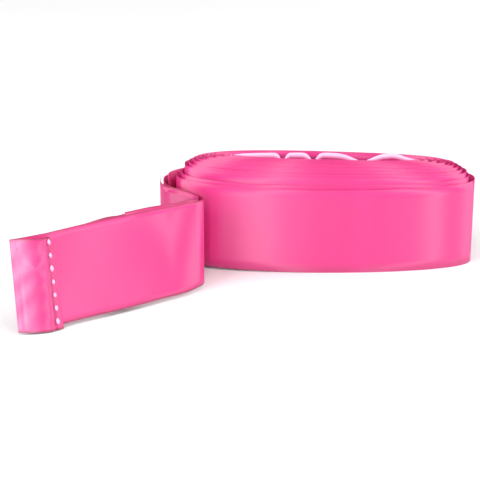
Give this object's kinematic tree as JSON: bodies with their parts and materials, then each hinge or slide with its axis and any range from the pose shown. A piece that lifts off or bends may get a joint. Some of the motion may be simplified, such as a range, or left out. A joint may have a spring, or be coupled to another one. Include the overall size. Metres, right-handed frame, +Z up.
{
  "type": "rhythmic gymnastics ribbon",
  "caption": "Satin gymnastics ribbon folded in half and wound on edge into a long flat coil, with two hemmed, stitched ends led out as a free tail.",
  "frame": {"origin": "on the floor, under the middle of the whole object's box", "axes": "+X along the coil, away from the tail; +Y from the tail's side to the coil's back; +Z up, across the ribbon's width"},
  "size_m": [0.2508, 0.1118, 0.0624],
  "materials": {
    "satin": "glossy warp-faced polyester satin",
    "white_thread": "thick sewing thread",
    "pink_thread": "thin sewing thread"
  },
  "bodies": {
    "coil": {"turn_1": "satin", "turn_2": "satin", "turn_3": "satin", "turn_4": "satin", "turn_5": "satin", "turn_6": "satin", "turn_7": "satin", "core_fold": "satin", "bend_outer_ply": "satin", "bend_inner_ply": "satin"},
    "front_tail": {"front_tail_ply": "satin", "inner_bend_end": "satin", "front_hem_flap": "satin", "front_stitch_row": "white_thread"},
    "front_hem": {"front_hem_sleeve": "satin", "front_edge_stitches": "pink_thread"},
    "back_tail": {"back_tail_ply": "satin", "back_hem_flap": "satin", "back_stitch_row": "white_thread"},
    "back_hem": {"back_hem_sleeve": "satin", "back_edge_stitches": "pink_thread"}
  },
  "joints": [
    {"name": "tail_swing", "type": "hinge", "parent": "coil", "child": "front_tail", "pos_m": [-0.02563, 0.00481, 0], "axis": [0, 0, 1], "range_deg": [-15, 45]},
    {"name": "front_hem_flex", "type": "hinge", "parent": "front_tail", "child": "front_hem", "pos_m": [-0.0999, -0.04884, 0], "axis": [-0.1361, 0.2357, 0.9623], "range_deg": [-60, 60]},
    {"name": "back_ply_peel", "type": "hinge", "parent": "front_tail", "child": "back_tail", "pos_m": [-0.03718, -0.01097, 0], "axis": [-0.0961, 0.1308, 0.9867], "range_deg": [-25, 0]},
    {"name": "back_hem_flex", "type": "hinge", "parent": "back_tail", "child": "back_hem", "pos_m": [-0.06067, -0.0248, 0], "axis": [-0.1202, 0.2082, 0.9707], "range_deg": [-60, 0]}
  ]
}
